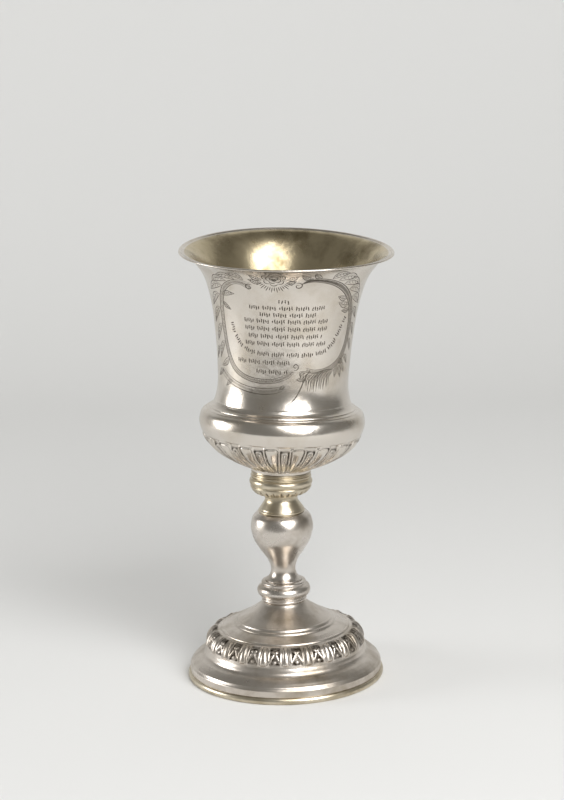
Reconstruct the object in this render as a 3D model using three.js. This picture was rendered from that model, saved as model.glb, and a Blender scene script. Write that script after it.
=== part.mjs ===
// A silver kiddush cup: a flared, gadrooned bowl on a baluster stem and a stepped, stamped foot.
// Millimetres, +Z up. The cup's front faces -Y, and it stands on the plane z = 0.
//
// Every piece is a skin of rings stacked along one upright axis. The whole cup is then settled:
// long use has left the bowl leaning on its stem and the lip out of true, and settle() bends the
// rings the same way for every piece, so that neighbours stay fitted to each other.
import * as THREE from "three";

// Radii and heights of the main forms
const FOOT_RADIUS = 42.4;
const WIRE_HEIGHT = 2.8;
const FRIEZE_FOOT = { r: 34.3, z: 13.8 };
const FRIEZE_HEAD = { r: 28.1, z: 21.2 };
const FOOT_NECK = { r: 9.3, z: 33.2 };
const KNOP_RADIUS = 11.5;
const BALUSTER_RADIUS = 13.35;
const COLLAR_RADIUS = 13.5;
const BOWL_BASE = { r: 12.2, z: 90.6 };
const BULGE_RADIUS = 35.3;
const WAIST_RADIUS = 27.7;
const RIM = { r: 45.5, z: 185.7 };

// Sheet thickness, and the gap that parts two touching pieces
const WALL = 1;
const SEAM = 0.3;

// Ornament repeated round the cup
const GADROONS = { count: 18, top: 107, bottom: 92.6, rise: 0.8, recess: 0.8, tongue: 0.3 };
const FRIEZE = { count: 22, rise: 0.55, recess: 0.2 };
const EGGS = { count: 24, recess: 0.6 };

// Where the cup has bent: above each height it leans by these slopes, to its right and backwards
const BENDS = [
  { z: 20, right: -0.008, back: 0 },
  { z: 86, right: 0.054, back: 0.044 },
];
const BEND_LENGTH = 5;

// The lip dips at the front, and is a little twisted: height change at the rim, by angle
const LIP = { start: 155, tilt: 3.72, side: 0.76, saddle: 0.44, twist: 0.23 };

const PLAIN = 40; // points round a large plain ring
const SLIM = 20; // points round a ring of the stem
const HIDDEN = 24; // points round a ring that is seen only from inside or beneath

// ---------------------------------------------------------------- the worn shape

const ramp = (u) => (u + Math.hypot(u, BEND_LENGTH)) / 2;
const rampSlope = (u) => (1 + u / Math.hypot(u, BEND_LENGTH)) / 2;

/** Bends the upright cup: a ring moves sideways with the axis and stays square to it. */
function settle(x, y, z) {
  const moved = new THREE.Vector3(x, y, z);
  for (const bend of BENDS) {
    const run = ramp(z - bend.z) - ramp(-bend.z);
    const slope = rampSlope(z - bend.z);
    moved.x += bend.right * run;
    moved.y += bend.back * run;
    moved.z -= (bend.right * x + bend.back * y) * slope;
  }
  return moved;
}

/** How far the lip has sunk or lifted, fading out down the beaker. */
function lipShift(angle, z) {
  const share = Math.max(0, (z - LIP.start) / (RIM.z - LIP.start)) ** 2;
  const round = LIP.side * Math.sin(angle) - LIP.tilt * Math.cos(angle);
  return share * (round + LIP.saddle * Math.cos(2 * angle) + LIP.twist * Math.sin(2 * angle));
}

// ---------------------------------------------------------------- rings and skins

/** A ring of n points at radius r and height z. Angle 0 is the front, and swell moves a point out. */
function ring(r, z, n = PLAIN, swell = () => 0) {
  return Array.from({ length: n }, (_, i) => {
    const angle = (2 * Math.PI * i) / n;
    const radius = r + swell(angle, z);
    return settle(radius * Math.sin(angle), -radius * Math.cos(angle), z + lipShift(angle, z));
  });
}

const pole = (z) => [settle(0, 0, z)];

/** Rings along an outline of [radius, height] pairs. */
const rings = (outline, n, swell) => outline.map(([r, z]) => ring(r, z, n, swell));

/** A smooth outline through a few [radius, height] points, as `steps` straight runs. */
function curve(points, steps) {
  const spline = new THREE.SplineCurve(points.map(([r, z]) => new THREE.Vector2(r, z)));
  return spline.getPoints(steps).map((p) => [p.x, p.y]);
}

/** An arc of an outline round (r, z), from one angle to another in degrees above the horizontal. */
function arc(r, z, radius, from, to, steps) {
  const path = new THREE.Path();
  path.absarc(r, z, radius, THREE.MathUtils.degToRad(from), THREE.MathUtils.degToRad(to), to < from);
  return path.getPoints(steps).map((p) => [p.x, p.y]);
}

/** The outline a wall's thickness inside another that climbs with the metal on its left. */
function inside(outline, wall = WALL) {
  return outline.map(([r, z], i) => {
    const [r0, z0] = outline[Math.max(i - 1, 0)];
    const [r1, z1] = outline[Math.min(i + 1, outline.length - 1)];
    const length = Math.hypot(r1 - r0, z1 - z0);
    return [r - (wall * (z1 - z0)) / length, z + (wall * (r1 - r0)) / length];
  });
}

/** Triangles between two rings, which may have different numbers of points. */
function stitch(a, b, startA, startB, faces) {
  let i = 0;
  let j = 0;
  while (i < a || j < b) {
    const onA = startA + (i % a);
    const onB = startB + (j % b);
    const stepA = i < a && (j === b || (i + 1) * b <= (j + 1) * a);
    if (stepA && a > 1) faces.push(onA, startA + ((i + 1) % a), onB);
    if (!stepA && b > 1) faces.push(onA, startB + ((j + 1) % b), onB);
    if (stepA) i += 1;
    else j += 1;
  }
}

/** The closed skin over a stack of rings: outside going up, inside coming down. */
function skin(stack) {
  const starts = [];
  const points = [];
  for (const loop of stack) {
    starts.push(points.length);
    points.push(...loop);
  }
  const faces = [];
  stack.forEach((loop, k) => {
    const next = (k + 1) % stack.length;
    if (loop.length > 1 || stack[next].length > 1) {
      stitch(loop.length, stack[next].length, starts[k], starts[next], faces);
    }
  });
  const geometry = new THREE.BufferGeometry().setFromPoints(points);
  geometry.setIndex(faces);
  geometry.computeVertexNormals();
  return geometry;
}

// ---------------------------------------------------------------- ornament

/** Distance round the ring to the nearest of `count` repeats, from 0 on it to 1 halfway between. */
function between(angle, count) {
  const phase = (angle * count) / (2 * Math.PI);
  return 2 * Math.abs(phase - Math.round(phase));
}

/** Broad lobes with a small tongue between each two, parted by deep furrows. */
function gadroon(angle, z) {
  const fromTongue = between(angle, GADROONS.count);
  const down = (GADROONS.top - z) / (GADROONS.top - GADROONS.bottom);
  const shoulder = THREE.MathUtils.smoothstep(down, -0.02, 0.14);
  const depth = shoulder * (1 - 0.55 * THREE.MathUtils.smoothstep(down, 0.5, 1));
  if (fromTongue < 0.12) return depth * GADROONS.tongue;
  if (fromTongue < 0.45) return -depth * GADROONS.recess;
  return depth * GADROONS.rise * Math.cos(((1 - fromTongue) * Math.PI) / 3);
}

/** Plain raised tongues of the foot's frieze, with sunk sides and flat panels between. */
function frieze(angle, z) {
  const fromTongue = between(angle, FRIEZE.count);
  const up = (z - FRIEZE_FOOT.z) / (FRIEZE_HEAD.z - FRIEZE_FOOT.z);
  const depth = THREE.MathUtils.smoothstep(up, 0.02, 0.25) * (1 - THREE.MathUtils.smoothstep(up, 0.75, 1));
  if (fromTongue < 0.2) return depth * FRIEZE.rise;
  return fromTongue < 0.7 ? -depth * FRIEZE.recess : 0;
}

/** Narrow notches that part the eggs under the collar. */
function eggs(angle) {
  return between(angle, EGGS.count) < 0.3 ? -EGGS.recess : 0;
}

// ---------------------------------------------------------------- the pieces

/** The applied wire that the cup stands on. */
function footWire() {
  const inner = FOOT_RADIUS - 2.8;
  const outline = [
    [inner, 0],
    [FOOT_RADIUS - 0.7, 0],
    [FOOT_RADIUS, 0.8],
    [FOOT_RADIUS, 1.7],
    [FOOT_RADIUS - 0.6, WIRE_HEIGHT],
    [inner, WIRE_HEIGHT],
  ];
  return skin(rings(outline, PLAIN));
}

/** The stepped dome of the foot, hollow beneath, ending in a flared neck. */
function foot() {
  const base = WIRE_HEIGHT + SEAM;
  const ovolo = curve([[41, 6.1], [40.5, 7.2], [39.1, 8.4], [36.8, 9.7]], 3);
  const cyma = curve([[36.8, 9.7], [35.4, 11], [34.8, 12.4], [FRIEZE_FOOT.r, FRIEZE_FOOT.z]], 3);
  const belly = curve(
    [[FRIEZE_FOOT.r, FRIEZE_FOOT.z], [33.9, 16.6], [32, 19.3], [FRIEZE_HEAD.r, FRIEZE_HEAD.z]],
    3,
  );
  const ridge = [[27.8, 21.9], [27.1, 21.9]];
  const plateau = [[24.5, 23], [21.9, 23.7]];
  const steps = [[21.3, 24.5], [20.5, 24.9], [20, 25.8], [19.2, 26.1]];
  const trumpet = curve([[19.2, 26.1], [16, 28], [12.6, 30.2], [10.4, 31.9], [FOOT_NECK.r, FOOT_NECK.z]], 4);
  const outer = [
    ...rings([[41.4, base], [41.4, 5.9]]),
    ...rings(ovolo),
    ...rings(cyma.slice(1, -1)),
    ...rings(belly, 4 * FRIEZE.count, frieze),
    ...rings([...ridge, ...plateau, ...steps], PLAIN),
    ...rings(trumpet.slice(1), SLIM),
  ];
  const underside = curve(
    [
      [FOOT_NECK.r, FOOT_NECK.z], [10.6, 31.4], [15.3, 27.8], [27, 21.5], [32.6, 16], [34.6, 10.6],
      [40.2, 7.4], [41.3, base],
    ],
    8,
  );
  const inner = underside.map(([r, z]) => [r - WALL, z]);
  inner[1][1] -= WALL;
  return skin([...outer, ...rings(inner, HIDDEN)]);
}

/** The knop ring above the foot: two thin rings, a round torus and a small disc. */
function knop() {
  const low = FOOT_NECK.z + SEAM;
  const outline = [
    [9.2, low], [9.6, 33.9], [9.6, 34.4], [9.2, 34.6], [9.6, 34.9], [9.6, 35.3], [9.2, 35.6],
    ...arc(KNOP_RADIUS - 2.8, 38, 2.8, -62, 68, 5),
    [9.5, 40.9], [9.4, 41.8], [8.2, 42.3],
  ];
  return skin([pole(low), ...rings(outline, SLIM), pole(42.3)]);
}

/** The baluster: a pear-shaped swelling that draws in to a thin waist and spreads on the knop. */
function baluster() {
  const outline = curve(
    [
      [8, 42.6], [6.4, 43.9], [5.4, 46], [5.4, 48.6], [6.8, 52.2], [9.5, 56.2], [12, 60.4],
      [13.2, 64.4], [BALUSTER_RADIUS, 67.4], [12.5, 70.8], [10.6, 72.9],
    ],
    15,
  );
  return skin([pole(42.6), ...rings(outline, SLIM), pole(72.9)]);
}

/** The collar: a disc, a short neck, a band of eggs, a torus and the fillets that carry the bowl. */
function collar() {
  const disc = [[9.6, 73.2], [9.9, 73.4], [9.9, 73.9]];
  const neck = curve([[9.4, 74.6], [8.5, 76], [7.2, 78], [6.9, 79.8]], 4);
  const shelf = [[7.5, 80], [7.7, 80.7]];
  const egg = [[8.6, 81.2], [11.3, 82], [12.7, 83.9]];
  const torus = [[12.8, 84.3], ...arc(COLLAR_RADIUS - 2.1, 86.3, 2.1, -45, 62, 5)];
  const top = BOWL_BASE.z - SEAM;
  const fillets = [[12.3, 88.5], [12.9, 88.8], [12.9, 89.3], [12.2, 89.6], [12.2, top]];
  return skin([
    pole(73.2),
    ...rings([...disc, ...neck, ...shelf], SLIM),
    ...rings(egg, 3 * EGGS.count, eggs),
    ...rings([...torus, ...fillets], SLIM),
    pole(top),
  ]);
}

/** The bowl: gadrooned base, plump bulge, stepped shoulder and a waisted beaker with a flared lip. */
function bowl() {
  const basin = curve([[14.2, 93], [18.6, 94.9], [22.9, 97.1], [27.8, 100.4], [31.4, 104], [33, 106.4]], 5);
  const bulge = curve([[34.1, 107.2], [35, 109.8], [BULGE_RADIUS, 112.6], [34.8, 115.6], [33.9, 117.4]], 3);
  const shoulder = [[32.7, 118.1], [31.2, 119], [29.8, 120.2]];
  const beaker = curve(
    [
      [29, 121.5], [28.4, 123.8], [28, 126], [WAIST_RADIUS, 130], [27.9, 136], [28.5, 144],
      [29.4, 152], [30.7, 161], [32.6, 169], [35.1, 175.8], [38.7, 181.1], [42, 183.9], [44.8, 184.8],
    ],
    12,
  );
  const lip = [[RIM.r, RIM.z - 0.5], [RIM.r, RIM.z], [RIM.r - 0.5, RIM.z + 0.3], [RIM.r - 1.2, RIM.z]];
  const lining = inside(beaker.filter((_, i) => i % 2 === 0)).reverse();
  const basinInside = curve([[31.6, 118.4], [33, 113.5], [32, 107.6], [27.4, 101.8], [18.6, 96.4], [9, 93.4]], 6);
  const columns = 5 * GADROONS.count;
  return skin([
    pole(BOWL_BASE.z),
    ring(BOWL_BASE.r, BOWL_BASE.z, SLIM),
    ring(BOWL_BASE.r + 0.4, BOWL_BASE.z + 0.9, SLIM),
    ...rings(basin, columns, gadroon),
    ...rings([...bulge, ...shoulder, ...beaker], PLAIN),
    ...rings([...lip, ...lining.slice(1)], PLAIN),
    ...rings(basinInside, HIDDEN),
    pole(92.6),
  ]);
}

// ---------------------------------------------------------------- the cup

const silver = (name, color, roughness) =>
  new THREE.MeshStandardMaterial({ name, color, roughness, metalness: 1 });

const PIECES = [
  ["foot_wire", footWire, silver("wire silver", 0xb3a48e, 0.32)],
  ["foot", foot, silver("foot silver", 0xa8a297, 0.3)],
  ["knop", knop, silver("knop silver", 0xa79f92, 0.26)],
  ["baluster", baluster, silver("stem silver", 0xaea79b, 0.24)],
  ["collar", collar, silver("collar silver", 0x9d937f, 0.3)],
  ["bowl", bowl, silver("bowl silver", 0xb5aea3, 0.26)],
];

const cup = new THREE.Group();
for (const [name, make, material] of PIECES) {
  const piece = new THREE.Mesh(make(), material);
  piece.name = name;
  cup.add(piece);
}

// The origin is on the table, under the middle of the space that the leaning cup takes up.
const middle = new THREE.Box3().setFromObject(cup).getCenter(new THREE.Vector3());
cup.position.set(-middle.x, -middle.y, 0);

export default cup;
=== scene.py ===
"""The looks of a silver kiddush cup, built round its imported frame.

Every piece is a closed skin of rings about the cup's axis, worked out as whole numpy arrays: an outline
gives the radius and height of each ring, relief moves its points along the outline's normal, and settle()
then leans them as the frame's pieces lean. Sizes are in millimetres until a mesh is filled.
"""

import math

import bpy
import numpy as np
from mathutils import Euler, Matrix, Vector


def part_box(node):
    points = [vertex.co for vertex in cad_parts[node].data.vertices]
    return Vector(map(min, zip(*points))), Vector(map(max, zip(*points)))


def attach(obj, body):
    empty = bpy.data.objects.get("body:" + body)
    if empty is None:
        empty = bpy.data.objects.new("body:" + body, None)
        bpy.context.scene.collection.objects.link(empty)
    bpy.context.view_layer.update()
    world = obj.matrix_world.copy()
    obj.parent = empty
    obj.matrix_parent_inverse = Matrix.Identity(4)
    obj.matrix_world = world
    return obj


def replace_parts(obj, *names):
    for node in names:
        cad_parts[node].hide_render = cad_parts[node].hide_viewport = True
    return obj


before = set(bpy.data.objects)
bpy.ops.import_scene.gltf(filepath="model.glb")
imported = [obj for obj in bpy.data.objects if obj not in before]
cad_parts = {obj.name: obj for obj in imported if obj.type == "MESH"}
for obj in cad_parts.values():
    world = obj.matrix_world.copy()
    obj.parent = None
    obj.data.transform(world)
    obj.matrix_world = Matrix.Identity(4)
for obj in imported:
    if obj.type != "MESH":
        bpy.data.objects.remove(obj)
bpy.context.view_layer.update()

MM = 0.001

# The axis stands in the middle of the foot's wire, and each piece keeps the heights of its CAD node.
wire_low, wire_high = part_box("foot_wire")
AXIS = np.array((wire_low + wire_high) / 2)[:2] / MM
WIRE_TOP = wire_high.z / MM

# Main radii and heights
FOOT_RADIUS = 42.4
FRIEZE_FOOT = (34.3, 13.8)
FRIEZE_HEAD = (28.1, 21.2)
FOOT_NECK = (9.3, 33.2)
KNOP_RADIUS = 11.5
BALUSTER_RADIUS = 13.35
COLLAR_RADIUS = 13.5
BOWL_BASE = (12.2, 90.6)
BULGE_RADIUS = 35.3
WAIST_RADIUS = 27.7
RIM = (45.5, 185.7)
WALL = 1.0

# Above each height the cup leans by these slopes, to its right and backwards
BENDS = ((20, -0.008, 0.0), (86, 0.054, 0.044))
BEND_LENGTH = 5.0

# The lip's dip and twist: height change at the rim, by angle from the front
LIP = {"start": 155.0, "tilt": 3.72, "side": 0.76, "saddle": 0.44, "twist": 0.23}

# Columns: the finest spacing cuts the turn into this many, and coarser rings take every nth of them
TURN = 640

GADROONS = {"count": 18, "turn": math.radians(2), "top": 107.3, "lobe": math.radians(6.6), "tongue": math.radians(2.5)}
FRIEZE_COUNT = 22
EGG_COUNT = 24


# ------------------------------------------------------------------ outlines

def spaced(path, step):
    """The same polyline with evenly spaced points, about `step` apart."""
    path = np.asarray(path, float)
    length = np.concatenate([[0], np.cumsum(np.hypot(*np.diff(path, axis=0).T))])
    at = np.linspace(0, length[-1], max(2, round(length[-1] / step) + 1))
    return np.column_stack([np.interp(at, length, path[:, k]) for k in (0, 1)])


def smooth(points, step):
    """A Catmull-Rom curve through the points: each stretch is the cubic that leaves a point along the
    line between its two neighbours."""
    p = np.asarray(points, float)
    p = np.vstack([2 * p[0] - p[1], p, 2 * p[-1] - p[-2]])
    t = np.linspace(0, 1, 24, endpoint=False)[None, :, None]
    a, b, c, d = (p[k:len(p) - 3 + k, None, :] for k in range(4))
    curve = 0.5 * (2 * b + (c - a) * t + (2 * a - 5 * b + 4 * c - d) * t**2 + (3 * b - a - 3 * c + d) * t**3)
    return spaced(np.vstack([curve.reshape(-1, 2), p[-2]]), step)


def rounded(points, radius, step):
    """Straight runs with each corner eased by a parabola that starts `radius` before it."""
    p = np.asarray(points, float)
    path = [p[:1]]
    t = np.linspace(0, 1, 7)[:, None]
    for before, corner, after in zip(p, p[1:], p[2:]):
        start = corner + (before - corner) * min(0.5, radius / math.dist(before, corner))
        end = corner + (after - corner) * min(0.5, radius / math.dist(after, corner))
        path.append((1 - t) ** 2 * start + 2 * t * (1 - t) * corner + t**2 * end)
    path.append(p[-1:])
    return spaced(np.vstack(path), step)


def arc(r, z, radius, start, end, step):
    """Part of a circle round (r, z), from one angle above the horizontal to another."""
    count = max(3, round(radius * math.radians(abs(end - start)) / step) + 1)
    angle = np.radians(np.linspace(start, end, count))
    return np.column_stack([r + radius * np.cos(angle), z + radius * np.sin(angle)])


def joined(*runs):
    """One outline from several, with the points dropped that two runs share."""
    path = np.vstack([np.asarray(run, float) for run in runs])
    keep = np.concatenate([[True], np.hypot(*np.diff(path, axis=0).T) > 0.02])
    return path[keep]


def normals(outline):
    """Unit normals of an outline, to the right of the way it runs."""
    along = np.gradient(outline, axis=0)
    along /= np.linalg.norm(along, axis=1, keepdims=True)
    return np.column_stack([along[:, 1], -along[:, 0]])


def run_length(outline):
    return np.concatenate([[0], np.cumsum(np.hypot(*np.diff(outline, axis=0).T))])


# ------------------------------------------------------------------ rings and skins

def ramp(u):
    return (u + np.hypot(u, BEND_LENGTH)) / 2


def settle(x, y, z):
    """Leans the upright cup: rings move sideways with the axis and stay square to it."""
    right, back, drop = x, y, z
    for height, to_right, to_back in BENDS:
        run = ramp(z - height) - ramp(-height)
        slope = (1 + (z - height) / np.hypot(z - height, BEND_LENGTH)) / 2
        right = right + to_right * run
        back = back + to_back * run
        drop = drop - (to_right * x + to_back * y) * slope
    return right, back, drop


def lip_shift(angle, z):
    """How far the worn lip has sunk or lifted, fading out down the beaker with the square of height."""
    share = np.clip((z - LIP["start"]) / (RIM[1] - LIP["start"]), 0, None) ** 2
    wave = LIP["side"] * np.sin(angle) - LIP["tilt"] * np.cos(angle)
    return share * (wave + LIP["saddle"] * np.cos(2 * angle) + LIP["twist"] * np.sin(2 * angle))


def plain(angle, outline):
    """No relief, and no dirt: zeros for height, dirt and cut."""
    return np.zeros((3, len(outline), angle.shape[1]))


def columns(step):
    """Column numbers round a ring: every `step`."""
    return np.arange(0, TURN, step)


def band(outline, across, relief=plain, finish=0):
    """Rings over an outline: points (rows, columns, 3), their dirt and cut, and the finish's number."""
    angle = across[None, :] * (2 * math.pi / TURN)
    height, dirt, cut = relief(angle, outline)
    out = normals(outline)
    r = outline[:, :1] + height * out[:, :1]
    z = outline[:, 1:] + height * out[:, 1:]
    z = z + lip_shift(angle, z)
    x, y, z = settle(r * np.sin(angle), -r * np.cos(angle), z)
    points = np.stack([x + AXIS[0], y + AXIS[1], z], axis=-1)
    return {"points": points, "across": across, "dirt": dirt, "cut": cut, "finish": finish}


def pole(z, finish=0):
    """A single point on the leaning axis, to close a skin."""
    x, y, z = settle(0.0, 0.0, z)
    clean = np.zeros((1, 1))
    return {"points": np.array([[[x + AXIS[0], y + AXIS[1], z]]]), "across": np.array([0]),
            "dirt": clean, "cut": clean, "finish": finish}


def stitch(low, low_start, high, high_start):
    """Polygons between two rings whose columns nest: each cell of the coarser ring is one polygon."""
    if len(high) == 1:
        i = np.arange(len(low))
        return [np.column_stack([low_start + i, low_start + (i + 1) % len(low), np.full(len(i), high_start)])]
    if len(low) == 1:
        i = np.arange(len(high))
        return [np.column_stack([high_start + (i + 1) % len(high), high_start + i, np.full(len(i), low_start)])]
    shared = np.intersect1d(low, high)
    at_low, at_high = np.searchsorted(low, shared), np.searchsorted(high, shared)
    cells_low = np.diff(np.append(at_low, at_low[0] + len(low)))
    cells_high = np.diff(np.append(at_high, at_high[0] + len(high)))
    polygons = []
    for n_low, n_high in set(zip(cells_low.tolist(), cells_high.tolist())):
        chosen = (cells_low == n_low) & (cells_high == n_high)
        under = (at_low[chosen, None] + np.arange(n_low + 1)) % len(low) + low_start
        over = (at_high[chosen, None] + np.arange(n_high, -1, -1)) % len(high) + high_start
        polygons.append(np.hstack([under, over]))
    return polygons


def skin(name, bands, closed, finishes):
    """A mesh over consecutive bands. A closed one joins its last ring to its first; others end in poles."""
    points, dirt, cut, faces, finish = [], [], [], [], []
    start, rings = 0, []
    for run in bands:
        rows = 1 if run.get("single") else run["points"].shape[0]
        width = len(run["across"])
        points.append(run["points"][:rows].reshape(-1, 3))
        dirt.append(run["dirt"][:rows].ravel())
        cut.append(run["cut"][:rows].ravel())
        rings += [(run["across"], start + row * width, run["finish"]) for row in range(rows)]
        start += rows * width
    pairs = list(zip(rings, rings[1:] + rings[:1] if closed else rings[1:]))
    for (low, low_start, number), (high, high_start, _) in pairs:
        for polygons in stitch(low, low_start, high, high_start):
            faces += polygons.tolist()
            finish += [number] * len(polygons)
    mesh = bpy.data.meshes.new(name)
    mesh.from_pydata((np.vstack(points) * MM).tolist(), [], faces)
    mesh.polygons.foreach_set("use_smooth", np.ones(len(faces), bool))
    mesh.polygons.foreach_set("material_index", np.array(finish, np.int32))
    for label, values in (("dirt", dirt), ("cut", cut)):
        layer = mesh.attributes.new(label, "FLOAT", "POINT")
        layer.data.foreach_set("value", np.concatenate(values).astype(np.float32))
    for material in finishes:
        mesh.materials.append(material)
    piece = bpy.data.objects.new(name, mesh)
    bpy.context.scene.collection.objects.link(piece)
    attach(piece, "root")
    return piece


# ------------------------------------------------------------------ relief

def step_up(x, start, end):
    """0 before start, 1 after end, and a smooth S between."""
    t = np.clip((x - start) / (end - start), 0, 1)
    return t * t * (3 - 2 * t)


def bell(x, width):
    return np.exp(-((x / width) ** 2))


def from_nearest(angle, count, turn=0.0):
    """Angle from the nearest of `count` evenly spaced places round the cup."""
    period = 2 * math.pi / count
    return (angle - turn + period / 2) % period - period / 2


def inside_arch(u, v, half_width):
    """Distance inside an upright arch with a round head: u across it and v down from its top."""
    corner = 0.62 * half_width
    across, above = np.abs(u) - (half_width - corner), corner - v
    outside = np.hypot(np.maximum(across, 0), np.maximum(above, 0))
    return corner - outside - np.minimum(np.maximum(across, above), 0)


def gadroons(angle, outline):
    """Broad lobes and a slim tongue between each two. Each lobe is an arch with a round border bead, a
    groove inside it and a cushioned field that narrows downwards; a tongue is a smaller arch with a bead
    and a ridge down its middle. The ground between them is sunk, dark and matt."""
    r, z = outline[:, :1], outline[:, 1:]
    run = run_length(outline)[:, None]
    down = np.interp(GADROONS["top"], z[:, 0], run[:, 0]) - run
    scale = np.minimum(r / 31, 1)
    period = 2 * math.pi / GADROONS["count"]
    u_lobe = r * from_nearest(angle, GADROONS["count"], GADROONS["turn"] + period / 2)
    u_tongue = r * from_nearest(angle, GADROONS["count"], GADROONS["turn"])
    lobe = inside_arch(u_lobe, down, r * GADROONS["lobe"])
    field = inside_arch(u_lobe, down - 1.1, r * GADROONS["lobe"] - 1.1 * scale - 0.05 * np.maximum(down - 3, 0))
    tongue = inside_arch(u_tongue, down - 2.9, r * GADROONS["tongue"])
    bead = bell(lobe - 0.45, 0.34) + 0.8 * bell(tongue - 0.4, 0.3)
    ridge = bell(u_tongue, 0.36) * step_up(down, 4.2, 5.0)
    sunk = step_up(down, -0.5, 0.5) * (1 - step_up(np.maximum(lobe, tongue), -0.1, 0.3))
    hollow = step_up(lobe, 0.5, 0.9) * (1 - step_up(field, -0.1, 0.35)) + step_up(tongue, 0.4, 0.8) * (1 - ridge)
    cushion = step_up(field, -0.1, 0.5) * 0.35 + 0.55 * step_up(field, 0, 2.8)
    height = scale * (np.clip(bead + 0.8 * ridge, 0, 1) * 0.6 + cushion - 0.45 * sunk - 0.35 * hollow)
    fade = step_up(down, -0.4, 0.3) * (1 - 0.5 * step_up(down, 13, 17))
    dirt = fade * np.clip(0.9 * sunk * step_up(down, 0.8, 3.4) + 0.85 * hollow, 0, 1)
    return np.stack([height * step_up(down, -0.9, 0.1), dirt, np.zeros_like(height)])


def frieze(angle, outline):
    """Plain convex tongues that narrow upwards, between thin upright fillets, and sunk panels between
    those, each filled with a sprig: a four-petalled flower over two crossed leaves."""
    r = outline[:, :1]
    run = run_length(outline)[:, None]
    up = run / run[-1]
    u = r * from_nearest(angle, FRIEZE_COUNT)
    half = r * math.pi / FRIEZE_COUNT
    ends = step_up(up, 0.03, 0.13) * (1 - step_up(up, 0.84, 0.95))
    fillet_at = 0.45 * half
    width = 0.32 * half * (1.1 - 0.55 * up)
    tongue = np.sqrt(np.clip(1 - (u / width) ** 2, 0, 1)) * (1 - step_up(up, 0.74, 0.88))
    fillet = bell(np.abs(u) - fillet_at, 0.24)
    ground = step_up(np.abs(u), fillet_at + 0.15, fillet_at + 0.5)
    v = (up - 0.48) * run[-1]
    w = half - np.abs(u)
    around = np.arctan2(v - 0.9, w)
    petals = step_up(1.25 + 0.5 * np.cos(4 * around - math.pi) - np.hypot(w, v - 0.9), 0, 0.4)
    leaves = bell(w - 0.55 * (1.2 - v), 0.34) * (v < 0.2) * (v > -3.3) + bell(np.hypot(w, v + 3.0), 0.55)
    sprig = ground * np.clip(petals - 0.7 * bell(np.hypot(w, v - 0.9), 0.45) + leaves, 0, 1)
    height = 0.65 * ends * (0.85 * tongue + 0.4 * fillet - 0.3 * (1 - tongue) * (1 - fillet) + 0.45 * sprig)
    gap = bell((np.abs(u) - width) / 0.45, 1.0) * (1 - fillet)
    dirt = ends * np.clip(0.7 * gap + 0.85 * ground * (1 - sprig), 0, 1)
    return np.stack([height, dirt, np.zeros_like(height)])


def eggs(angle, outline):
    """Short round eggs parted by dark notches."""
    r = outline[:, :1]
    up = (run_length(outline) / run_length(outline)[-1])[:, None]
    u = from_nearest(angle, EGG_COUNT, math.pi / EGG_COUNT) * r
    half = r * math.pi / EGG_COUNT
    ends = step_up(up, 0.02, 0.25) * (1 - step_up(up, 0.8, 1.0))
    egg = np.sqrt(np.clip(1 - (u / half) ** 2, 0, 1))
    dirt = ends * bell(half - np.abs(u), 0.3)
    return np.stack([ends * (0.65 * egg - 0.5), dirt, np.zeros_like(dirt)])


# ------------------------------------------------------------------ materials

def colour(code):
    """A linear RGBA colour from an sRGB hex code."""
    srgb = [int(code[k:k + 2], 16) / 255 for k in (1, 3, 5)]
    return [c / 12.92 if c <= 0.04045 else ((c + 0.055) / 1.055) ** 2.4 for c in srgb] + [1.0]


def add(tree, kind, links=None, **settings):
    """Adds a node with its settings; links gives each input a value or another node's output."""
    made = tree.nodes.new(kind)
    for name, value in settings.items():
        setattr(made, name, value)
    for socket, source in (links or {}).items():
        if isinstance(source, bpy.types.NodeSocket):
            tree.links.new(source, made.inputs[socket])
        else:
            made.inputs[socket].default_value = source
    return made


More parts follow.
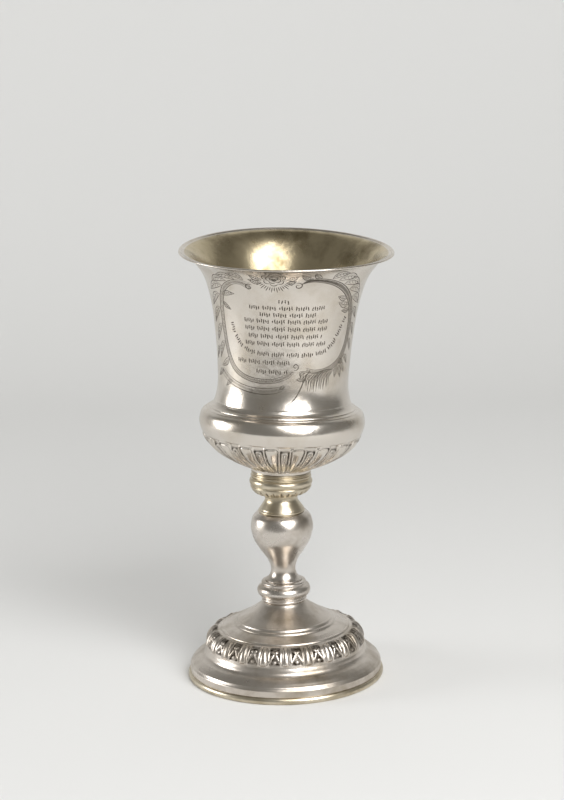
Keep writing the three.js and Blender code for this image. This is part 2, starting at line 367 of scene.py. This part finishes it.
def silver(name, tone, stain, patina, polish, wear):
    """Old hand-polished silver. Polishing leaves a bright, slightly wavy face with fine wipe marks, a
    warm bloom of tarnish in broad clouds, and dark sulphide where the cloth doesn't reach."""
    material = bpy.data.materials.new(name)
    material.use_nodes = True
    tree = material.node_tree
    tree.nodes.clear()
    place = add(tree, "ShaderNodeTexCoord").outputs["Object"]
    dirt = add(tree, "ShaderNodeAttribute", attribute_name="dirt").outputs["Fac"]
    cloud = add(tree, "ShaderNodeTexNoise", {"Vector": place, "Scale": 1 / (14 * MM), "Detail": 4.0, "Roughness": 0.6})
    speck = add(tree, "ShaderNodeTexNoise", {"Vector": place, "Scale": 1 / (1.6 * MM), "Detail": 3.0, "Roughness": 0.65})
    bloom = add(tree, "ShaderNodeMapRange", {"Value": cloud.outputs["Fac"], "From Min": 0.45, "From Max": 0.72, "To Max": wear})
    grime = add(tree, "ShaderNodeMath", {0: dirt, 1: speck.outputs["Fac"]}, operation="MULTIPLY_ADD", use_clamp=True)
    grime.inputs[2].default_value = 0.0
    soiled = add(tree, "ShaderNodeMapRange", {"Value": grime.outputs[0], "From Min": 0.12, "From Max": 0.5})
    warm = add(tree, "ShaderNodeMix", {"Factor": bloom.outputs[0], "A": colour(tone), "B": colour(stain)}, data_type="RGBA")
    # the colour sockets of a Mix node carry the same names as its number sockets, so they are set by place
    warm.inputs[6].default_value = colour(tone)
    warm.inputs[7].default_value = colour(stain)
    face = add(tree, "ShaderNodeMix", {"Factor": soiled.outputs[0]}, data_type="RGBA")
    tree.links.new(warm.outputs[2], face.inputs[6])
    face.inputs[7].default_value = colour(patina)
    rough = add(tree, "ShaderNodeMapRange", {"Value": cloud.outputs["Fac"], "From Min": 0.3, "From Max": 0.7,
                                            "To Min": polish, "To Max": polish + 0.1})
    duller = add(tree, "ShaderNodeMath", {0: soiled.outputs[0], 1: 0.4, 2: rough.outputs[0]}, operation="MULTIPLY_ADD")
    waves = add(tree, "ShaderNodeTexNoise", {"Vector": place, "Scale": 1 / (5 * MM), "Detail": 2.0})
    wavy = add(tree, "ShaderNodeBump", {"Height": waves.outputs["Fac"], "Distance": 0.1 * MM, "Strength": 1.0})
    grain = add(tree, "ShaderNodeBump", {"Height": speck.outputs["Fac"], "Distance": 0.012 * MM, "Strength": 1.0,
                                         "Normal": wavy.outputs["Normal"]})
    shader = add(tree, "ShaderNodeBsdfPrincipled", {"Base Color": face.outputs[2], "Metallic": 1.0,
                                                    "Roughness": duller.outputs[0], "Normal": grain.outputs["Normal"]})
    add(tree, "ShaderNodeOutputMaterial", {"Surface": shader.outputs["BSDF"]})
    return material


# ------------------------------------------------------------------ engraving on the beaker

# Engraved motifs are drawn on the beaker laid flat: u runs round it in mm at a radius of 30 mm, to the
# right of the front, and v is the height. A stroke is (points, half width).
FLAT_RADIUS = 30.0
FRAME_INNER = [(-13.5, 173.6), (-17.5, 176.2), (-21.5, 175), (-25.4, 171.6), (-28.2, 166.5), (-29.3, 160), (-29, 153),
               (-28, 147), (-26, 142), (-22.5, 138), (-17, 135.6), (-11, 134.8), (-5, 135), (0, 136.6), (3, 138.6)]
FRAME_OUTER = [(-12.6, 177.4), (-17.5, 178.4), (-22.5, 176.8), (-27, 173), (-30.2, 167), (-31.4, 160), (-31, 153),
               (-29.8, 146), (-27.2, 140), (-23.2, 136.2), (-17, 133.8), (-10.5, 133), (-4, 133.5), (1.5, 135.4),
               (5, 138.2)]
RIGHT_INNER = [(5, 177), (8, 178.2), (12, 177.9), (17, 176.2), (22, 173.2), (26.6, 169), (30, 164), (31.7, 158),
               (31.4, 151), (29.6, 145.8), (26, 141.9), (20, 139.4), (14, 138.9), (9.5, 140)]
RIGHT_OUTER = [(6.5, 179.6), (11, 180), (16, 178.8), (21.5, 176.2), (26.5, 172.3), (31, 167), (33.8, 160.5), (34.2, 153),
               (32.6, 146.4), (29.8, 142), (25.5, 139.4), (20, 137.8), (14.5, 137.4), (10, 138)]
RIBBON_UPPER = [(-33.5, 137.5), (-28, 134.3), (-22, 132.2), (-15, 131), (-8, 130.9), (-3, 131.6), (0.3, 132.6)]
RIBBON_LOWER = [(-34.5, 134.5), (-28, 131.6), (-22, 129.8), (-15, 128.7), (-8, 128.5), (-2.5, 129.4), (0.8, 131)]
STEM = [(12, 139.2), (9.6, 135.5), (7.6, 131), (5.4, 127.4), (3, 125), (1.2, 123.9)]
VOLUTES = [((-13.6, 175.2), 1.7, 40, 1), ((4.2, 176.4), 1.7, 120, -1), ((5, 140.4), 1.6, 250, 1), ((-1, 131.6), 1.1, 60, -1)]
# A leaf is (base, tip, sideways bend, width)
LEAVES = [
    ((-27.6, 169.2), (-20.8, 170.8), 0.8, 1.1), ((-28.2, 166.5), (-24, 163), -0.6, 0.9),
    ((29, 166.3), (22.4, 167.4), 0.9, 1.3), ((27, 169), (21.4, 170.3), 0.6, 1.1), ((30.3, 164), (25, 163.4), 0.5, 0.9),
    ((-15, 178.6), (-21, 181.6), -1.1, 1.3), ((-18.5, 178.4), (-27, 179.4), -1.4, 1.5), ((-23, 177), (-32, 175.6), -1.5, 1.6),
    ((-26.5, 174), (-36.5, 170.5), -1.4, 1.7), ((-29.6, 169.5), (-38.5, 163), -1.3, 1.6), ((-31.2, 163), (-39, 155.5), -1.2, 1.5),
    ((-31.3, 156), (-37.5, 148), -1.0, 1.4), ((-30.3, 149), (-35.8, 141), -0.9, 1.3), ((-28, 142.5), (-34.5, 137.8), 0.8, 1.2),
    ((9, 180), (4.6, 182.4), 0.8, 0.9), ((12, 180.2), (9, 183), 0.6, 0.9), ((16, 179.4), (22, 181.6), 1.1, 1.5),
    ((19, 178.2), (28, 178.4), 1.4, 1.7), ((22.5, 176), (32.5, 174.6), 1.5, 1.8), ((26.5, 173), (36, 170.2), 1.4, 1.8),
    ((30, 169), (38.6, 165), 1.2, 1.7), ((33, 163.5), (39, 158.6), 1.0, 1.4), ((34.2, 157), (38.8, 151.5), 0.9, 1.3),
    ((33.8, 150.5), (37.8, 145), 0.8, 1.2), ((31.2, 143.6), (35.5, 139.8), 0.7, 1.1), ((28.5, 140.8), (33, 136.4), 0.6, 1.2),
    ((27.6, 139.8), (30, 134.4), 0.4, 1.1), ((27, 139.6), (25.6, 134.8), -0.4, 1.0), ((27.5, 141), (31.5, 141.4), 0.3, 1.0),
    ((-8.4, 179.4), (-12.2, 182.2), 0.5, 1.1), ((-8.6, 178), (-13.2, 179.4), 0.5, 1.0), ((0.2, 179.6), (4, 181.8), -0.5, 1.0),
    ((0.2, 178), (3.4, 178.9), -0.4, 0.9), ((-36, 146), (-40.5, 140), -0.8, 1.2), ((-33, 136), (-38.5, 133), -0.6, 1.1),
    ((9.6, 135.5), (5.4, 135), 0.4, 0.8), ((-26, 132.5), (-31, 129.6), -0.5, 0.9),
]
ROSE = (-4.2, 180.3)
ROWS = [(-2.6, 1.0, 168.4), (-14.5, 16.6, 165.4), (-10.2, 12.2, 162.3), (-17.2, 18, 159.4), (-17, 18, 156.2),
        (-15.6, 16, 153), (-17.2, 18, 149.8), (-21.6, 2, 142), (-12.2, 1.2, 138)]
CURVED_ROW = [(-24.4, 157.2), (-22.8, 152.6), (-19.4, 148.4), (-14, 146), (-6, 145.5), (2, 145.4), (10, 145.3),
              (17, 146.2), (21.8, 149), (25, 153.6), (28.4, 160.2)]
STROKE_HEIGHT = 1.9


def even(points, count):
    """`count` evenly spaced points on the smooth curve through the given ones."""
    curve = smooth(points, 0.2)
    at = run_length(curve)
    return np.column_stack([np.interp(np.linspace(0, at[-1], count), at, curve[:, k]) for k in (0, 1)])


def hatching(first, second, spacing, lean=0.0, share=(0.0, 1.0)):
    """Straight fine cuts from one contour to another; each ends `lean` mm further along it."""
    count = int(run_length(smooth(first, 0.2))[-1] / spacing)
    shift = int(round(lean / spacing))
    a, b = even(first, count), even(second, count)
    start, end = (a + (b - a) * k for k in share)
    start, end = start[:count - shift], end[shift:]
    return [(np.linspace(p, q, 4), 0.12) for p, q in zip(start, end)]


def leaf(base, tip, bend, width):
    """Two bowed edges, a middle vein and slanting veins: a point lies a share s of the way to the tip and
    aside by the bend and the half width times sin(pi s)."""
    base, tip = np.array(base, float), np.array(tip, float)
    along = tip - base
    aside = np.array([-along[1], along[0]]) / np.linalg.norm(along)
    s = np.linspace(0, 1, 7)[:, None]
    arch = np.sin(math.pi * s ** 0.8)
    spine = base + along * s + aside * bend * arch
    veins = [(np.linspace(spine[k], spine[k + 1] + side * aside * width * 0.8 * arch[k + 1], 3), 0.08)
             for k in range(1, 5) for side in (-1, 1)]
    return [(spine + aside * width * arch, 0.15), (spine - aside * width * arch, 0.12), (spine, 0.08)] + veins


def volute(middle, radius, start, way):
    """A spiral that closes on its eye in a turn and a quarter."""
    s = np.linspace(0, 1, 14)
    angle = math.radians(start) + way * s * 2.5 * math.pi
    reach = radius * (1 - 0.8 * s)
    return [(np.column_stack([middle[0] + reach * np.cos(angle), middle[1] + reach * np.sin(angle)]), 0.2)]


def rose(middle):
    """Three rings of petals, each an arc that bulges outwards, round a hatched eye."""
    strokes = []
    for radius, petals, turn in ((3.9, 7, 0.2), (2.6, 5, 0.6), (1.4, 4, 0.1)):
        for k in range(petals):
            s = np.linspace(-0.5, 0.5, 6)
            angle = turn + 2 * math.pi * (k + s) / petals
            reach = radius * (1 - 0.9 * s**2)
            strokes.append((np.column_stack([middle[0] + reach * np.cos(angle), middle[1] + reach * np.sin(angle)]), 0.17))
    fan = np.radians(np.linspace(-150, -30, 15))[:, None]
    rays = np.hstack([np.cos(fan), np.sin(fan)])
    strokes += [(np.linspace(middle + ray * 4.6, middle + ray * (7.4 - 0.8 * (k % 2)), 4), 0.16) for k, ray in enumerate(rays)]
    strokes += [(np.linspace(middle + ray * 0.3, middle + ray * 1.1, 3), 0.14) for ray in rays]
    return strokes


def acanthus():
    """A drooping plume: barbs leave a bowed rib and hang down to the left in hooks."""
    rib = even([(25.5, 138), (20, 138.6), (14, 137.6), (8.6, 138.6)], 26)
    strokes = [(rib, 0.18)]
    for k, root in enumerate(rib[1:]):
        fall = 4.5 + 3.5 * math.sin(0.5 + k * 0.13) + 0.8 * math.sin(2.6 * k)
        tip = root + np.array([-0.5 * fall, -fall * 1.02])
        middle = (root + tip) / 2 + np.array([-1.1, 0.7])
        strokes.append(([root, middle, tip], 0.13 + 0.05 * (k % 2)))
    return strokes


def row_marks(line):
    """A row of plain upright wedges along a line, with gaps: two heights and a slight lean by turns. They
    stand for the dedication and spell nothing."""
    curve = smooth(line, 0.2)
    at = run_length(curve)
    count = max(3, int(at[-1] / 0.92))
    k = np.array([n for n in range(count + 1) if n % 7 != 5])
    where = k * at[-1] / count
    foot = np.column_stack([np.interp(where, at, curve[:, j]) for j in (0, 1)])
    along = np.column_stack([np.interp(where + 0.5, at, curve[:, j]) - np.interp(where - 0.5, at, curve[:, j]) for j in (0, 1)])
    along /= np.linalg.norm(along, axis=1, keepdims=True)
    up = np.column_stack([-along[:, 1], along[:, 0]])
    tall = STROKE_HEIGHT * (0.42 + 0.1 * np.sin(2.3 * k))[:, None]
    lean = (0.22 * np.sin(1.7 * k))[:, None]
    low, high = foot - up * tall - along * lean, foot + up * tall + along * lean
    marks = [(np.linspace(p, q, 4), 0.26) for p, q in zip(low, high)]
    dash = k[k % 3 != 1]
    chosen = np.isin(k, dash)
    side = np.where(k % 2 == 0, 1, -1)[:, None]
    edge = foot + up * STROKE_HEIGHT * 0.43 * side
    marks += [(np.linspace(p - a * 0.34, p + a * 0.34, 4), 0.2) for p, a in zip(edge[chosen], along[chosen])]
    return marks


def engraved_strokes():
    strokes = [(FRAME_INNER, 0.2), (FRAME_OUTER, 0.2), (RIGHT_INNER, 0.2), (RIGHT_OUTER, 0.2),
               (RIBBON_UPPER, 0.16), (RIBBON_LOWER, 0.2), (STEM, 0.24)]
    strokes += hatching(FRAME_INNER, FRAME_OUTER, 0.55, 0.6, (0.15, 0.85))
    strokes += hatching(RIGHT_INNER, RIGHT_OUTER, 0.5, 1.0, (0.1, 0.9))
    strokes += hatching(RIBBON_UPPER, RIBBON_LOWER, 0.6, 0.0, (0.2, 0.75))
    for middle, radius, start, way in VOLUTES:
        strokes += volute(middle, radius, start, way)
    for base, tip, bend, width in LEAVES:
        strokes += leaf(base, tip, bend, width)
    strokes += rose(np.array(ROSE)) + acanthus()
    for start, end, height in ROWS:
        strokes += row_marks([(start, height), ((start + end) / 2, height), (end, height)])
    return strokes + row_marks(CURVED_ROW)


def make_engraving(finish, beaker):
    """The dark filling of every cut, its colour partly real sulphide and partly painted shade of a groove the wall
    itself doesn't have: a long spindle with a nearly flush face and a keel sunk in the wall.
    Its half width is the stroke's, times the square root of sin(pi s), so both ends come to a point."""
    points, faces, start = [], [], 0
    for path, half_width in engraved_strokes():
        count = max(5, int(run_length(np.asarray(path, float))[-1] / 0.5))
        line = even(path, count)
        along = np.gradient(line, axis=0)
        along /= np.linalg.norm(along, axis=1, keepdims=True)
        aside = np.column_stack([-along[:, 1], along[:, 0]])
        width = half_width * np.sqrt(np.sin(math.pi * np.linspace(0.01, 0.99, count)))[:, None]
        flat = np.stack([line + aside * width, line, line - aside * width, line], axis=1)
        proud = np.array([0.015, 0.04, 0.015, -0.12])[None, :] * np.ones((count, 1))
        points.append(np.concatenate([flat, proud[..., None]], axis=2).reshape(-1, 3))
        row = start + 4 * np.arange(count - 1)[:, None, None]
        side = np.arange(4)[None, :, None]
        turn = (side + 1) % 4
        faces += np.concatenate([row + side, row + turn, row + turn + 4, row + side + 4], axis=2).reshape(-1, 4).tolist()
        last = start + 4 * (count - 1)
        faces += [[start + 3, start + 2, start + 1, start], [last, last + 1, last + 2, last + 3]]
        start += 4 * count
    u, v, proud = np.vstack(points).T
    angle = u / FLAT_RADIUS
    r = np.interp(v, beaker[:, 1], beaker[:, 0])
    slope = np.interp(v, beaker[:, 1], np.arctan2(*np.gradient(beaker, axis=0).T))
    r, z = r + proud * np.cos(slope), v - proud * np.sin(slope)
    x, y, z = settle(r * np.sin(angle), -r * np.cos(angle), z + lip_shift(angle, z))
    mesh = bpy.data.meshes.new("engraving")
    mesh.from_pydata((np.column_stack([x + AXIS[0], y + AXIS[1], z]) * MM).tolist(), [], faces)
    mesh.materials.append(finish)
    piece = bpy.data.objects.new("engraving", mesh)
    bpy.context.scene.collection.objects.link(piece)
    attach(piece, "root")


def sulphide_and_cut_shade():
    """Black silver sulphide packed in the cut lines, its dark colour also painted shade of cuts the wall doesn't have:
    matt, brown-black, a little worn to grey.
    """
    material = bpy.data.materials.new("silver sulphide and painted cut shade")
    material.use_nodes = True
    tree = material.node_tree
    shader = tree.nodes["Principled BSDF"]
    place = add(tree, "ShaderNodeTexCoord").outputs["Object"]
    worn = add(tree, "ShaderNodeTexNoise", {"Vector": place, "Scale": 1 / (3 * MM), "Detail": 3.0})
    # brown-black to grey: the sulphide's colour, which also paints the shade a real cut would hold
    tone = add(tree, "ShaderNodeMix", {"Factor": worn.outputs["Fac"], 6: colour("#2f2a23"), 7: colour("#6a6257")},
               data_type="RGBA")
    tree.links.new(tone.outputs[2], shader.inputs["Base Color"])
    shader.inputs["Metallic"].default_value = 0.5
    shader.inputs["Roughness"].default_value = 0.5
    return material


# ------------------------------------------------------------------ the pieces

def make_foot_wire(finish):
    """The drawn wire soldered round the foot, flat beneath and round outside."""
    inner = FOOT_RADIUS - 2.8
    under = rounded([(inner, 0.6), (inner, 0), (FOOT_RADIUS - 0.7, 0), (FOOT_RADIUS, 0.7), (FOOT_RADIUS, 1.8),
                     (FOOT_RADIUS - 0.6, WIRE_TOP), (inner, WIRE_TOP), (inner, 1.2)], 0.5, 0.25)
    return skin("foot_wire_silver", [band(under, columns(4))], True, [finish])


def make_foot(finish):
    """The stepped dome: flat band, ovolo, cyma, stamped frieze, flat ridge, three small steps, trumpet."""
    base = WIRE_TOP + 0.02
    low = joined(
        rounded([(41.4, base), (41.4, 5.8), (41.0, 6.1), (40.6, 7.1)], 0.25, 0.3),
        smooth([(40.6, 7.1), (40.0, 7.6), (39.1, 8.4), (37.6, 9.4), (36.9, 9.7)], 0.35),
        smooth([(36.9, 9.7), (36.0, 10.2), (35.2, 11.1), (34.8, 12.4), (34.4, 13.5)], 0.35),
    )
    belly = smooth([(34.4, 13.6), FRIEZE_FOOT, (34.2, 15.4), (33.5, 17.5), (32.0, 19.6), (30.0, 20.8), FRIEZE_HEAD], 0.25)
    ridge = rounded([(28.0, 21.25), (27.9, 21.8), (27.3, 22.0), (26.9, 21.7), (24.5, 22.8), (22.1, 23.5),
                     (21.6, 24.4), (20.8, 24.6), (20.3, 25.6), (19.5, 25.9)], 0.3, 0.3)
    trumpet = smooth([(19.4, 26.0), (16.0, 28.0), (12.6, 30.2), (10.4, 31.9), FOOT_NECK], 0.4)
    under = smooth([(8.3, 33.2), (9.6, 30.4), (14.3, 27.2), (26.0, 21.0), (31.6, 16.0), (33.6, 10.6), (39.2, 7.0),
                    (40.3, base)], 0.8)
    bands = [
        band(low, columns(4)),
        band(belly, columns(1), frieze),
        band(joined(ridge, trumpet), columns(4)),
        band(under, columns(8)),
    ]
    return skin("foot_silver", bands, True, [finish])


def make_knop(finish):
    """Two thin rings, a round torus and a small disc."""
    low = FOOT_NECK[1] + 0.02
    outline = joined(
        rounded([(8.6, low), (9.3, low + 0.1), (9.75, 33.9), (9.75, 34.4), (9.2, 34.7), (9.75, 35.0), (9.75, 35.5),
                 (9.3, 35.7), (9.9, 35.8)], 0.25, 0.15),
        arc(KNOP_RADIUS - 2.7, 38, 2.7, -55, 66, 0.2),
        rounded([(9.5, 40.6), (9.4, 40.9), (9.6, 41.1), (9.6, 41.7), (9.2, 42.1), (8.2, 42.3)], 0.25, 0.15),
    )
    return skin("knop_silver", [pole(low), band(outline, columns(4)), pole(42.3)], False, [finish])


def make_baluster(finish):
    """The pear-shaped stem."""
    outline = smooth([(8.0, 42.6), (6.4, 43.9), (5.4, 46), (5.4, 48.6), (6.8, 52.2), (9.5, 56.2), (12, 60.4), (13.2, 64.4),
                      (BALUSTER_RADIUS, 67.4), (12.5, 70.8), (10.6, 72.9)], 0.35)
    return skin("baluster_silver", [pole(42.6), band(outline, columns(4)), pole(72.9)], False, [finish])


def make_collar(finish):
    """Disc, short neck, band of eggs, torus and fillets."""
    top = BOWL_BASE[1] - 0.02
    below = joined(
        rounded([(9.7, 73.0), (10.0, 73.15), (10.0, 73.9), (9.5, 74.3), (9.4, 74.7)], 0.25, 0.2),
        smooth([(9.4, 74.7), (8.5, 76), (7.2, 78), (6.9, 79.8)], 0.3),
        rounded([(6.9, 79.8), (7.6, 80), (7.8, 80.7), (8.4, 81.0)], 0.2, 0.2),
    )
    egg_outline = smooth([(8.4, 81.05), (10.7, 81.7), (12.2, 82.9), (12.75, 83.9)], 0.2)
    above = joined(
        rounded([(12.75, 84.0), (13.1, 84.2), (13.1, 84.7), (12.8, 84.8)], 0.2, 0.2),
        arc(COLLAR_RADIUS - 1.9, 86.5, 1.9, -50, 62, 0.2),
        rounded([(12.3, 88.2), (12.3, 88.6), (13.0, 88.8), (13.0, 89.3), (12.2, 89.5), (12.2, 89.9), (12.8, top)], 0.2, 0.2),
    )
    bands = [
        pole(73.0),
        band(below, columns(4)),
        band(egg_outline, columns(2), eggs),
        band(above, columns(4)),
        pole(top),
    ]
    return skin("collar_silver", bands, False, [finish])


def beaker_outline():
    """The waisted beaker from its foot to the flare under the lip."""
    return smooth([(28.95, 121.6), (28.5, 123.4), (28.05, 125.6), (27.75, 128.4), (27.72, 131), (27.95, 136), (28.5, 144),
                   (29.4, 152), (30.7, 161), (32.6, 169), (35.1, 175.8), (38.7, 181.1), (42, 183.9), (44.8, 184.9)], 0.8)


def make_bowl(finish, gilding):
    """The raised bowl: gadrooned base, bulge, stepped shoulder, waisted beaker, flared lip, gilt inside."""
    foot_ring = rounded([(11.6, BOWL_BASE[1]), BOWL_BASE, (12.7, 91.3), (12.5, 91.8), (12.9, 92.3)], 0.25, 0.3)
    basin = smooth([(12.9, 92.4), (14.2, 93), (18.6, 94.9), (22.9, 97.1), (27.8, 100.4), (31.4, 104), (33.2, 106.6),
                    (34.3, 108.6), (35.0, 110.6)], 0.36)
    bulge = smooth([(35.1, 111.0), (BULGE_RADIUS, 112.8), (34.9, 115.3), (34.1, 117.0), (32.6, 118.1)], 0.5)
    shoulder = joined(
        rounded([(32.6, 118.15), (32.2, 118.3), (31.4, 118.55), (31.25, 118.7), (31.2, 119.1)], 0.15, 0.2),
        smooth([(31.1, 119.15), (30.3, 119.6), (29.5, 120.5), (29.1, 121.3), (28.95, 121.4)], 0.25),
    )
    beaker = beaker_outline()
    r, z = RIM
    lip = rounded([(44.8, 184.9), (r - 0.1, 185.0), (r, z - 0.2), (r - 0.5, z + 0.3), (r - 1.2, z), (r - 1.5, z - 0.4)], 0.3, 0.25)
    lining = (beaker - WALL * normals(beaker))[::-2][1:]
    basin_inside = smooth([(28.3, 120.4), (29.6, 118.7), (31.4, 117.2), (32.9, 113.5), (32, 107.6), (27.4, 101.8), (18.6, 96.4), (9, 93.4), (2, 92.6)], 1.4)
    bands = [
        pole(BOWL_BASE[1]),
        band(foot_ring, columns(4)),
        band(basin, columns(1), gadroons),
        band(joined(bulge, shoulder), columns(4)),
        band(beaker, columns(4)),
        band(lip, columns(4)),
        band(lining, columns(4), finish=1),
        band(basin_inside, columns(4), finish=1),
        pole(92.6, finish=1),
    ]
    return skin("bowl_silver", bands, False, [finish, gilding])


raised = silver("raised silver, polished", "#dbd4cb", "#b3a48c", "#2e281f", 0.19, 0.5)
cast = silver("cast silver, polished", "#d3ccc4", "#9a8d7b", "#2e281f", 0.24, 0.8)
stamped = silver("stamped silver, polished", "#d2cac1", "#978a76", "#332b20", 0.26, 0.8)
tarnished = silver("tarnished silver", "#d0c6b2", "#8d7c58", "#3a3122", 0.26, 0.7)
gilding = silver("worn fire gilding", "#c9bb9c", "#6f6145", "#2a2418", 0.2, 0.9)

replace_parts(make_foot_wire(tarnished), "foot_wire")
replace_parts(make_foot(stamped), "foot")
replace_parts(make_knop(cast), "knop")
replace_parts(make_baluster(cast), "baluster")
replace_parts(make_collar(tarnished), "collar")
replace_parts(make_bowl(raised, gilding), "bowl")
# the engraving's dark fill is sulphide plus painted shade of the cuts
make_engraving(sulphide_and_cut_shade(), beaker_outline())


# ------------------------------------------------------------------ the studio

def paper(name, code):
    """Matt background paper."""
    material = bpy.data.materials.new(name)
    material.use_nodes = True
    shader = material.node_tree.nodes["Principled BSDF"]
    shader.inputs["Base Color"].default_value = colour(code)
    shader.inputs["Roughness"].default_value = 0.9
    return material


def make_backdrop():
    """A roll of paper laid over a table and up behind it: flat from the table's front edge, then a quarter
    turn upwards, then upright."""
    turn = np.linspace(0, math.pi / 2, 24)
    front, back, radius, half_width, top = -560.0, 500.0, 500.0, 1700.0, 2600.0
    y = np.concatenate([[front], back + radius * np.sin(turn), [back + radius]])
    z = np.concatenate([[0.0], radius * (1 - np.cos(turn)), [top]])
    x = np.array([-half_width, half_width])
    shape = (len(y), 2)
    points = np.stack([np.broadcast_to(x, shape), np.broadcast_to(y[:, None], shape),
                       np.broadcast_to(z[:, None], shape)], axis=-1)
    row = 2 * np.arange(len(y) - 1)[:, None]
    mesh = bpy.data.meshes.new("backdrop")
    mesh.from_pydata((points.reshape(-1, 3) * MM).tolist(), [], (row + np.array([0, 1, 3, 2])).tolist())
    mesh.polygons.foreach_set("use_smooth", np.ones(len(row), bool))
    mesh.materials.append(paper("background paper", "#e9e9e8"))
    sheet = bpy.data.objects.new("backdrop", mesh)
    bpy.context.scene.collection.objects.link(sheet)


def softbox(name, azimuth, elevation, distance, size, power, tint="#ffffff"):
    """An elliptical light that faces the cup: azimuth is to the right of the camera's side."""
    a, e = math.radians(azimuth), math.radians(elevation)
    middle = Vector((AXIS[0], AXIS[1], 100)) * MM
    away = Vector((math.sin(a) * math.cos(e), -math.cos(a) * math.cos(e), math.sin(e)))
    lamp = bpy.data.lights.new(name, "AREA")
    lamp.shape = "ELLIPSE"
    lamp.size, lamp.size_y = size[0] * MM, size[1] * MM
    lamp.energy = power
    lamp.color = colour(tint)[:3]
    holder = bpy.data.objects.new(name, lamp)
    holder.location = middle + away * distance * MM
    holder.rotation_euler = away.to_track_quat("Z", "Y").to_euler()
    bpy.context.scene.collection.objects.link(holder)


def make_camera():
    """A long lens a metre away, a little above the rim, and not quite level."""
    lens = bpy.data.cameras.new("camera")
    lens.sensor_fit = "VERTICAL"
    lens.sensor_height = 24
    lens.lens = 69
    lens.clip_end = 20
    holder = bpy.data.objects.new("camera", lens)
    holder.location = Vector((AXIS[0], AXIS[1] - 952.9, 341.2)) * MM
    aim = Euler((math.radians(90 - 12.97), 0, math.radians(-0.05))).to_matrix()
    roll = Euler((0, 0, math.radians(-1.25))).to_matrix()
    holder.rotation_euler = (aim @ roll).to_euler()
    bpy.context.scene.collection.objects.link(holder)
    bpy.context.scene.camera = holder


make_backdrop()
softbox("key softbox", 28, 34, 1450, (1150, 1500), 26)
softbox("left softbox", -92, 10, 1100, (540, 480), 5)
world = bpy.data.worlds.new("dim studio")
world.use_nodes = True
world.node_tree.nodes["Background"].inputs["Color"].default_value = colour("#7c7b77")
bpy.context.scene.world = world
bpy.context.scene.view_settings.view_transform = "Standard"
make_camera()
